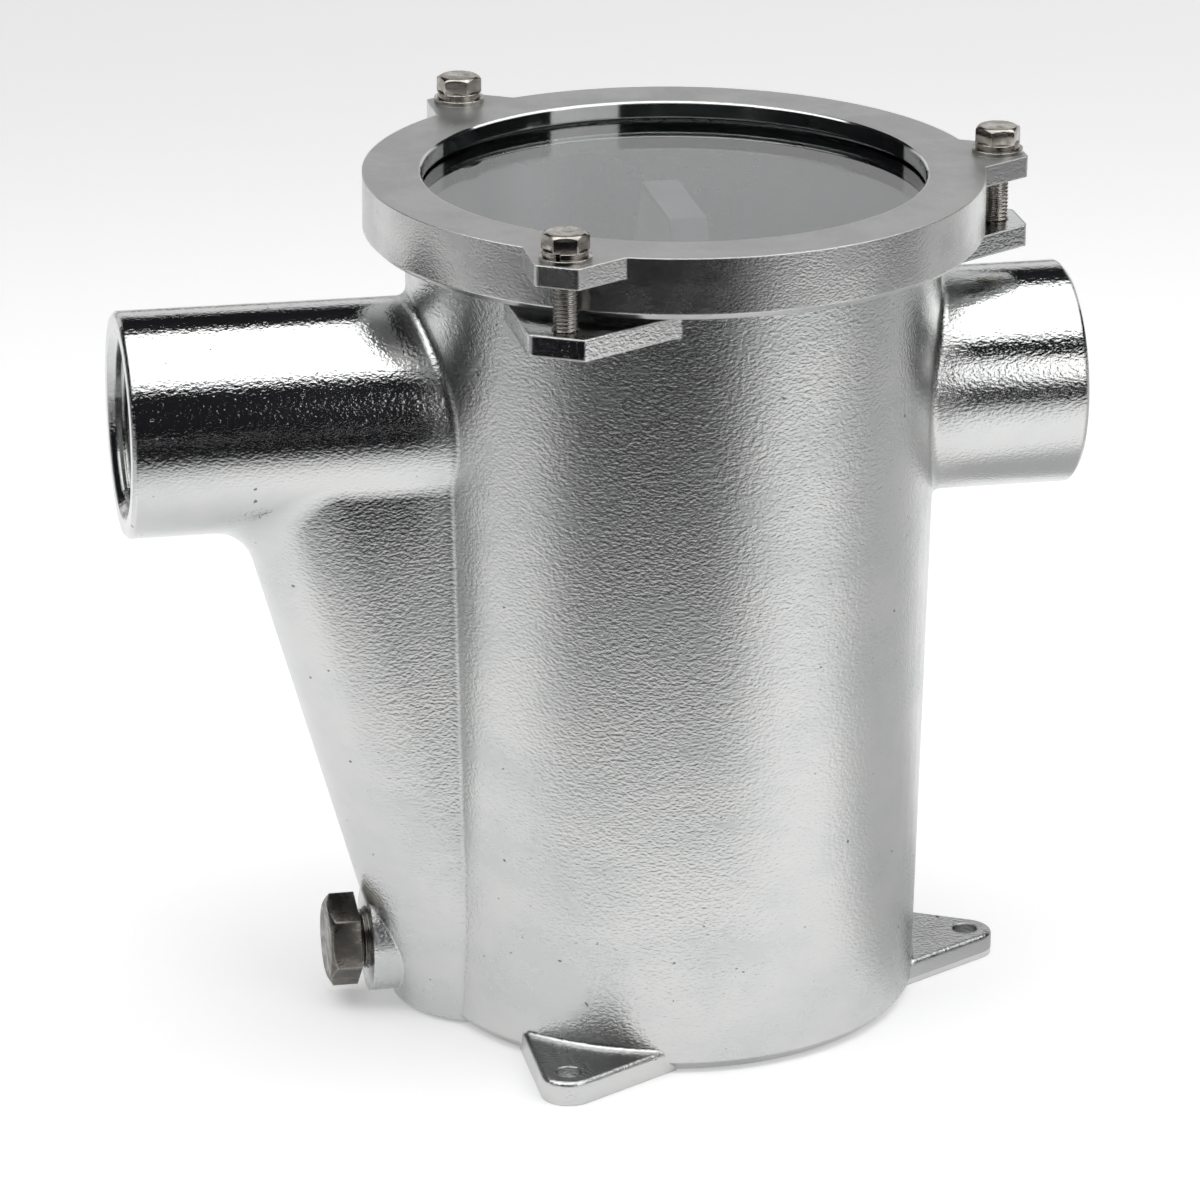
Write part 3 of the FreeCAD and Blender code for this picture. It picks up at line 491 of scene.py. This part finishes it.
rubber, tree, shader = new_material("seal_rubber", 0.0, 0.6)
skin = use_group(tree, casting_skin, Size=1800.0, Patch=90.0)
tone = mix_colours(tree, skin.outputs["Cloud"], RUBBER_BLACK, RUBBER_GREY)
wire(tree, tone, shader.inputs["Base Color"])
wire(tree, mix_values(tree, skin.outputs["Cloud"], *RUBBER_ROUGH), shader.inputs["Roughness"])
relief = bump(tree, skin.outputs["Height"], RUBBER_RELIEF, 0.8)
wire(tree, relief, shader.inputs["Normal"])
for name in ("rim_seal", "window_seal"):
    give(nodes[name], rubber)

# ------------------------------------------------------------------ window disc
# Clear acrylic disc, 9 mm thick, laid on the rim seal and held down by the clamp ring.
# It is cut from cast sheet with a slight grey tint, polished, and hazed a little by cleaning.
DISC_TINT = (0.61, 0.635, 0.645, 1.0)
ACRYLIC_IOR = 1.49
HAZE_ROUGH = (0.01, 0.016)

clear, tree, shader = new_material("clear_plastic", 0.0, 0.02)
shader.inputs["Base Color"].default_value = DISC_TINT
shader.inputs["Transmission Weight"].default_value = 1.0
shader.inputs["IOR"].default_value = ACRYLIC_IOR
haze = use_group(tree, casting_skin, Size=300.0, Patch=18.0)
wire(tree, mix_values(tree, haze.outputs["Cloud"], *HAZE_ROUGH), shader.inputs["Roughness"])
give(nodes["window_disc"], clear)

# ------------------------------------------------------------------ clamp ring
# Turned stainless ring with three lugs: fine face-turning lines on top, a polished bore lip,
# and a satin outer wall that keeps a little of the casting's grain.
TURNED_LINES = 1500.0
LINE_RELIEF = 0.000015
RING_RELIEF = 0.0001
LIP_RADIUS = 0.0818
LIP_EDGE = 0.0004
LIP_SHARE = 0.28
RING_ROUGH = (0.22, 0.3)
TOP_ROUGHER = 0.16
RING_BRIGHT = (0.63, 0.635, 0.625)
RING_DULL = (0.54, 0.545, 0.54)
RING_RUBBED = (0.8, 0.8, 0.78)

machined, tree, shader = new_material("machined_steel", 1.0, 0.3)
skin = use_group(tree, casting_skin, Size=900.0, Patch=35.0)
edge = use_group(tree, rubbed_edge, Gain=6.0, Radius=0.0008)
where = use_group(tree, from_axis)
lines = put(tree, "TexNoise", noise_dimensions="1D")
lines.inputs["Scale"].default_value = TURNED_LINES
lines.inputs["Detail"].default_value = 3.0
wire(tree, where.outputs["Reach"], lines.inputs["W"])
past_lip = ramp_mask(tree, where.outputs["Reach"], LIP_RADIUS - LIP_EDGE, LIP_RADIUS + LIP_EDGE)
facing = put(tree, "NewGeometry")
lean = put(tree, "SeparateXYZ")
wire(tree, facing.outputs["Normal"], lean.inputs["Vector"])
on_top = ramp_mask(tree, combine(tree, "ABSOLUTE", lean.outputs["Z"], 0), 0.6, 0.9)
side_rough = mix_values(tree, skin.outputs["Cloud"], *RING_ROUGH)
face_rough = combine(tree, "ADD", side_rough, combine(tree, "MULTIPLY", on_top, TOP_ROUGHER))
# the lip keeps only a share of that roughness, and the rest comes back past its edge
regained = combine(tree, "MULTIPLY", past_lip, 1.0 - LIP_SHARE)
share = combine(tree, "ADD", regained, LIP_SHARE)
wire(tree, combine(tree, "MULTIPLY", face_rough, share), shader.inputs["Roughness"])
tone = mix_colours(tree, skin.outputs["Cloud"], RING_BRIGHT, RING_DULL)
rubbed = mix_colours(tree, edge.outputs["Edge"], tone, RING_RUBBED)
wire(tree, rubbed, shader.inputs["Base Color"])
grain = combine(tree, "MULTIPLY", skin.outputs["Height"], past_lip)
cut_face = bump(tree, lines.outputs["Fac"], LINE_RELIEF, 0.7, edge.outputs["Normal"])
relief = bump(tree, grain, RING_RELIEF, 1.0, cut_face)
wire(tree, relief, shader.inputs["Normal"])
give(nodes["lid_ring"], machined)

# ------------------------------------------------------------------ clamp screws and washers
# M8 hexagon head screws of stainless steel, each over a split spring washer and a flat washer,
# pass through the ring's lugs into the tapped lugs of the bowl.
BOLT_FLAT = 0.0065
BOLT_HEAD = 0.0053
BOLT_FACE_IN = 0.0005
BOLT_EDGE = 0.0002
BOLT_CORE = 0.00335
BOLT_DEEP = 0.00068
BOLT_LENGTH = 0.034
BOLT_POINT = 0.0007
BOLT_PITCH = 0.00125
BOLT_TURNS = {"a": 19, "b": 30, "c": 12}
# both screw tones are set well below bare stainless: painted shade over every screw and washer,
# standing in for the dark gaps under the heads and between the lugs; the cloud noise between the
# two tones is random
SCREW_BRIGHT = (0.47, 0.44, 0.4)
SCREW_BROWN = (0.24, 0.22, 0.19)
SCREW_RUBBED = (0.7, 0.69, 0.66)
SCREW_ROUGH = (0.14, 0.27)
SCREW_RELIEF = 0.00003

screw_steel, tree, shader = new_material("screw_steel", 1.0, 0.2)
skin = use_group(tree, casting_skin, Size=1300.0, Patch=160.0)
edge = use_group(tree, rubbed_edge, Gain=8.0, Radius=0.0005)
# the screw colour mixes two darkened tones, which is painted shade, with random variation
# between them
tone = mix_colours(tree, skin.outputs["Cloud"], SCREW_BRIGHT, SCREW_BROWN)
rubbed = mix_colours(tree, edge.outputs["Edge"], tone, SCREW_RUBBED)
wire(tree, rubbed, shader.inputs["Base Color"])
wire(tree, mix_values(tree, skin.outputs["Cloud"], *SCREW_ROUGH), shader.inputs["Roughness"])
relief = bump(tree, skin.outputs["Height"], SCREW_RELIEF, 1.0, edge.outputs["Normal"])
wire(tree, relief, shader.inputs["Normal"])

head = hexagon_head("bolt_head", BOLT_FLAT, BOLT_HEAD, BOLT_FLAT - BOLT_FACE_IN, BOLT_EDGE)
core = turned_bar("bolt_core", BOLT_CORE, -BOLT_LENGTH, HEAD_LAP, BOLT_POINT, 32)
turns = int(BOLT_LENGTH / BOLT_PITCH) - 1
ridge = thread_ridge("bolt_ridge", BOLT_CORE - THREAD_LAP, BOLT_DEEP, BOLT_PITCH, turns, 28)
settle(ridge, Matrix.Translation((0, 0, -BOLT_LENGTH + BOLT_PITCH)))
pattern = joined("bolt_pattern", [head, core, ridge])
give(pattern, screw_steel)
for letter, turned in BOLT_TURNS.items():
    bolt = bpy.data.objects.new("clamp_screw_" + letter, pattern.data.copy())
    bpy.context.scene.collection.objects.link(bolt)
    low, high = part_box("clamp_bolt_" + letter)
    settle(bolt, Matrix.Translation(((low.x + high.x) / 2, (low.y + high.y) / 2,
                                     high.z - BOLT_HEAD))
           @ Matrix.Rotation(math.radians(turned), 4, "Z"))
    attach(bolt, "screw_" + letter)
    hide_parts("clamp_bolt_" + letter)
    give(nodes["flat_washer_" + letter], screw_steel)
    give(nodes["spring_washer_" + letter], screw_steel)
bpy.data.objects.remove(pattern)

# ------------------------------------------------------------------ studio
# White table top under one large softbox, a small box at the front right, a pale wall behind,
# and a dark cloth that only the gloss of the metal sees.
TABLE_SIZE = 14
TABLE_WHITE = (0.86, 0.86, 0.86)
TABLE_SHADE = (0.85, 0.85, 0.85)
TABLE_NEAR_GLOW = (0.32, 0.32, 0.32)
TABLE_FAR_GLOW = (0.9, 0.9, 0.9)
ROOM_BLACK = (0.012, 0.012, 0.014, 1.0)
CLOTH_PLACE = (0, -2.1, 0.002)
CLOTH_SPREAD = (6.0, 5.8, 1.0)
CLOTH_MIDDLE = (-0.375, -0.927, 0.0)
CLOTH_RIGHT = 0.45
CLOTH_LEFT = 0.35


def softbox(name, place, look_at, wide, deep, glow):
    """Area light of a given radiance, facing a point."""
    data = bpy.data.lights.new(name, "AREA")
    data.shape = "RECTANGLE"
    data.size = wide
    data.size_y = deep
    data.energy = glow * math.pi * wide * deep
    light = bpy.data.objects.new(name, data)
    bpy.context.scene.collection.objects.link(light)
    light.location = place
    facing = Vector(look_at) - Vector(place)
    light.rotation_euler = facing.to_track_quat("-Z", "Y").to_euler()
    light.visible_camera = False
    return light


softbox("overhead", place=(0.0, -0.12, 1.45), look_at=(0.0, -0.12, 0.0),
        wide=3.2, deep=1.6, glow=2.4)
softbox("front_right_box", place=(1.15, -1.88, 0.95), look_at=(0.0, 0.0, 0.2),
        wide=1.35, deep=1.0, glow=1.8)
softbox("back_wall", place=(0.6, 3.0, 1.0), look_at=(0.0, 0.0, 0.25),
        wide=6.0, deep=1.1, glow=0.85)

bpy.ops.object.select_all(action="DESELECT")
bpy.ops.mesh.primitive_plane_add(size=TABLE_SIZE, location=(0, 0, 0))
floor = bpy.context.object
floor.name = "floor"
floor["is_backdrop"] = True
table, tree, shader = new_material("table_white", 0.0, 0.85)
fibre = put(tree, "TexNoise")
fibre.inputs["Scale"].default_value = 40.0
wire(tree, mix_colours(tree, fibre.outputs["Fac"], TABLE_WHITE, TABLE_SHADE),
     shader.inputs["Base Color"])
shader.inputs["Specular IOR Level"].default_value = 0.1
# the far part of the table top, beyond the overhead light, glows so that it stays pale
place = put(tree, "TexCoord")
reach = put(tree, "VectorMath", operation="LENGTH")
wire(tree, place.outputs["Object"], reach.inputs[0])
far = ramp_mask(tree, reach.outputs["Value"], 0.9, 3.2)
wire(tree, mix_colours(tree, far, TABLE_NEAR_GLOW, TABLE_FAR_GLOW),
     shader.inputs["Emission Color"])
shader.inputs["Emission Strength"].default_value = 1.0
table.cycles.emission_sampling = "NONE"
give(floor, table)

# the cloth lies on the table in front; it fades in with the reach from the bowl and towards
# its middle direction, and covers less to the right and to the left
bpy.ops.object.select_all(action="DESELECT")
bpy.ops.mesh.primitive_plane_add(size=1, location=CLOTH_PLACE)
cloth = bpy.context.object
cloth.name = "dark_cloth"
cloth.scale = CLOTH_SPREAD
bpy.ops.object.transform_apply(location=True, rotation=True, scale=True)
cloth.visible_camera = False
cloth.visible_diffuse = False
cloth.visible_shadow = False
cloth.visible_transmission = False
cloth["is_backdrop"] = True
dark, tree, shader = new_material("dark_cloth", 0.0, 0.9)
shader.inputs["Base Color"].default_value = ROOM_BLACK
shader.inputs["Specular IOR Level"].default_value = 0.0
place = put(tree, "TexCoord")
depth = put(tree, "SeparateXYZ")
reach = put(tree, "VectorMath", operation="LENGTH")
unit = put(tree, "VectorMath", operation="NORMALIZE")
heading = put(tree, "SeparateXYZ")
toward = put(tree, "VectorMath", operation="DOT_PRODUCT")
toward.inputs[1].default_value = CLOTH_MIDDLE
wire(tree, place.outputs["Object"], depth.inputs["Vector"])
wire(tree, place.outputs["Object"], reach.inputs[0])
wire(tree, place.outputs["Object"], unit.inputs[0])
wire(tree, unit.outputs["Vector"], heading.inputs["Vector"])
wire(tree, unit.outputs["Vector"], toward.inputs[0])
away = reach.outputs["Value"]
middle = combine(tree, "MULTIPLY", ramp_mask(tree, away, 0.16, 0.62),
                 ramp_mask(tree, toward.outputs["Value"], 0.58, 0.9))
front = combine(tree, "MULTIPLY", ramp_mask(tree, away, 0.85, 1.1),
                ramp_mask(tree, depth.outputs["Y"], 0.2, -0.2))
right = combine(tree, "MULTIPLY", ramp_mask(tree, away, 0.02, 0.14),
                ramp_mask(tree, heading.outputs["X"], 0.8, 0.97))
left = combine(tree, "MULTIPLY", ramp_mask(tree, away, 0.35, 0.6),
               ramp_mask(tree, heading.outputs["X"], -0.6, -0.95))
cover = combine(tree, "MAXIMUM", middle, front)
cover = combine(tree, "MAXIMUM", cover, combine(tree, "MULTIPLY", right, CLOTH_RIGHT))
cover = combine(tree, "MAXIMUM", cover, combine(tree, "MULTIPLY", left, CLOTH_LEFT))
wire(tree, cover, shader.inputs["Alpha"])
give(cloth, dark)

# the room is dark to the metal and white to the camera
world = bpy.data.worlds.new("studio")
bpy.context.scene.world = world
world.use_nodes = True
sky = world.node_tree
dim = sky.nodes["Background"]
dim.inputs["Color"].default_value = ROOM_BLACK
pale = sky.nodes.new("ShaderNodeBackground")
pale.inputs["Color"].default_value = (1.0, 1.0, 1.0, 1.0)
seen = sky.nodes.new("ShaderNodeLightPath")
choose = sky.nodes.new("ShaderNodeMixShader")
wire(sky, seen.outputs["Is Camera Ray"], choose.inputs[0])
wire(sky, dim.outputs["Background"], choose.inputs[1])
wire(sky, pale.outputs["Background"], choose.inputs[2])
wire(sky, choose.outputs["Shader"], sky.nodes["World Output"].inputs["Surface"])

# ------------------------------------------------------------------ camera
# Long lens two metres off, a little left of the front, looking down by about twenty degrees.
# A small shift and roll of the frame bring the whole strainer into its middle.
azimuth = math.radians(-12.11)
elevation = math.radians(20.71)
roll = math.radians(0.44)
distance = 1.9725
target = Vector((0, 0, 0.110))
back = Vector((math.sin(azimuth) * math.cos(elevation),
               -math.cos(azimuth) * math.cos(elevation),
               math.sin(elevation)))
lens = bpy.data.cameras.new("camera")
camera = bpy.data.objects.new("camera", lens)
bpy.context.scene.collection.objects.link(camera)
camera.location = target + back * distance
lens.sensor_width = 36.0
lens.lens = 179.05
lens.shift_x = -0.0586
lens.shift_y = 0.0564
camera.rotation_euler = (-back).to_track_quat("-Z", "Y").to_euler()
camera.rotation_euler.rotate_axis("Z", roll)
bpy.context.scene.camera = camera
bpy.context.scene.view_settings.view_transform = "Standard"

# the bounds of the dressed strainer, leaving out the table and the cloth
low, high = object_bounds()
